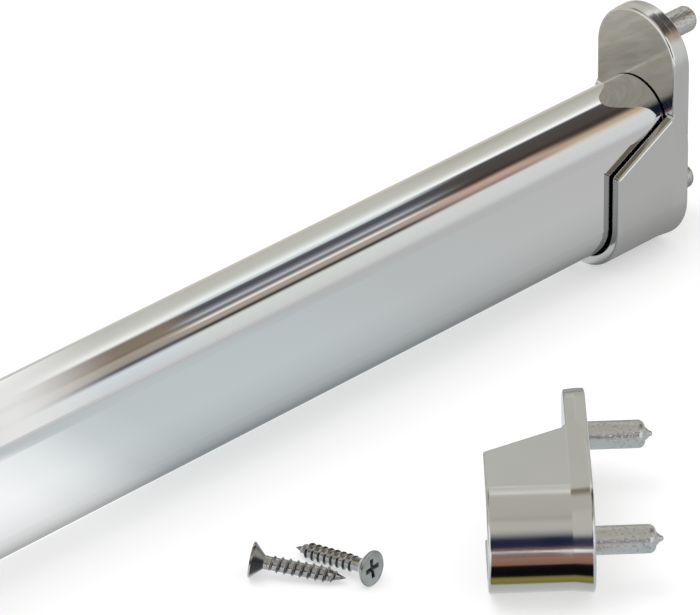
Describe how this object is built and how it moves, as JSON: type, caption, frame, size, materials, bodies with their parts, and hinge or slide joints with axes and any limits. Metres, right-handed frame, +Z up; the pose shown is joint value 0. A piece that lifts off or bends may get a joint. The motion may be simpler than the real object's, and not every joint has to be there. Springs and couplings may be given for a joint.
{
  "type": "closet rod",
  "caption": "Oval closet rod in a cast open-topped end support with panel pins, with its loose support and countersunk screws lying beside it.",
  "frame": {"origin": "on the fitted support's back face, midway between its two panel pins", "axes": "+X into the cabinet's side panel, the rod runs along -X, +Z up"},
  "size_m": [0.4713, 0.0929, 0.0459],
  "materials": {
    "tube": "bright chrome-plated steel tube",
    "casting": "satin chrome-plated zinc die casting",
    "screw": "nickel-plated steel"
  },
  "bodies": {
    "fittings": {"end_support_fitted": "casting", "end_support_loose": "casting", "screw_left": "screw", "screw_right": "screw"},
    "rod": {"oval_rod": "tube"}
  },
  "joints": [
    {"name": "rod_lift", "type": "slide", "parent": "fittings", "child": "rod", "axis": [0, 0, 1], "range_m": [0, 0.03]}
  ]
}
